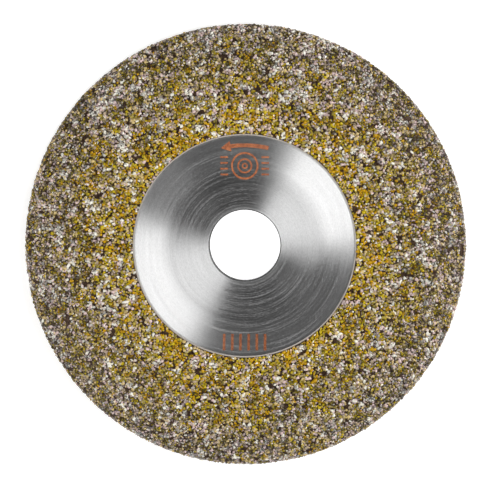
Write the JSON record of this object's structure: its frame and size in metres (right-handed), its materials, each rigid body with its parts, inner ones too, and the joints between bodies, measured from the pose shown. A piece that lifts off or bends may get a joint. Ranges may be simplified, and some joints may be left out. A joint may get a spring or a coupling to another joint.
{
  "type": "diamond grinding wheel",
  "caption": "Dished steel grinding wheel with a round arbor bore and a convex face and rim plated with coarse diamond grit in nickel.",
  "frame": {"origin": "centre of the bore in the plane of the rear clamping face", "axes": "+Z along the bore, from the rear clamping face out of the coated working face; +Y towards the rotation arrow"},
  "size_m": [0.1, 0.1, 0.0076],
  "materials": {
    "turned_steel": "satin",
    "plated_nickel": "satin",
    "diamond_grit": "coarse amber, olive and grey crystals",
    "mark_enamel": "satin"
  },
  "bodies": {
    "root": {"steel_body": "turned_steel", "nickel_bond": "plated_nickel", "diamond_grit": "diamond_grit", "rotation_arrow_paint": "mark_enamel", "wheel_mark_paint": "mark_enamel", "grit_ticks_paint": "mark_enamel"}
  },
  "joints": []
}
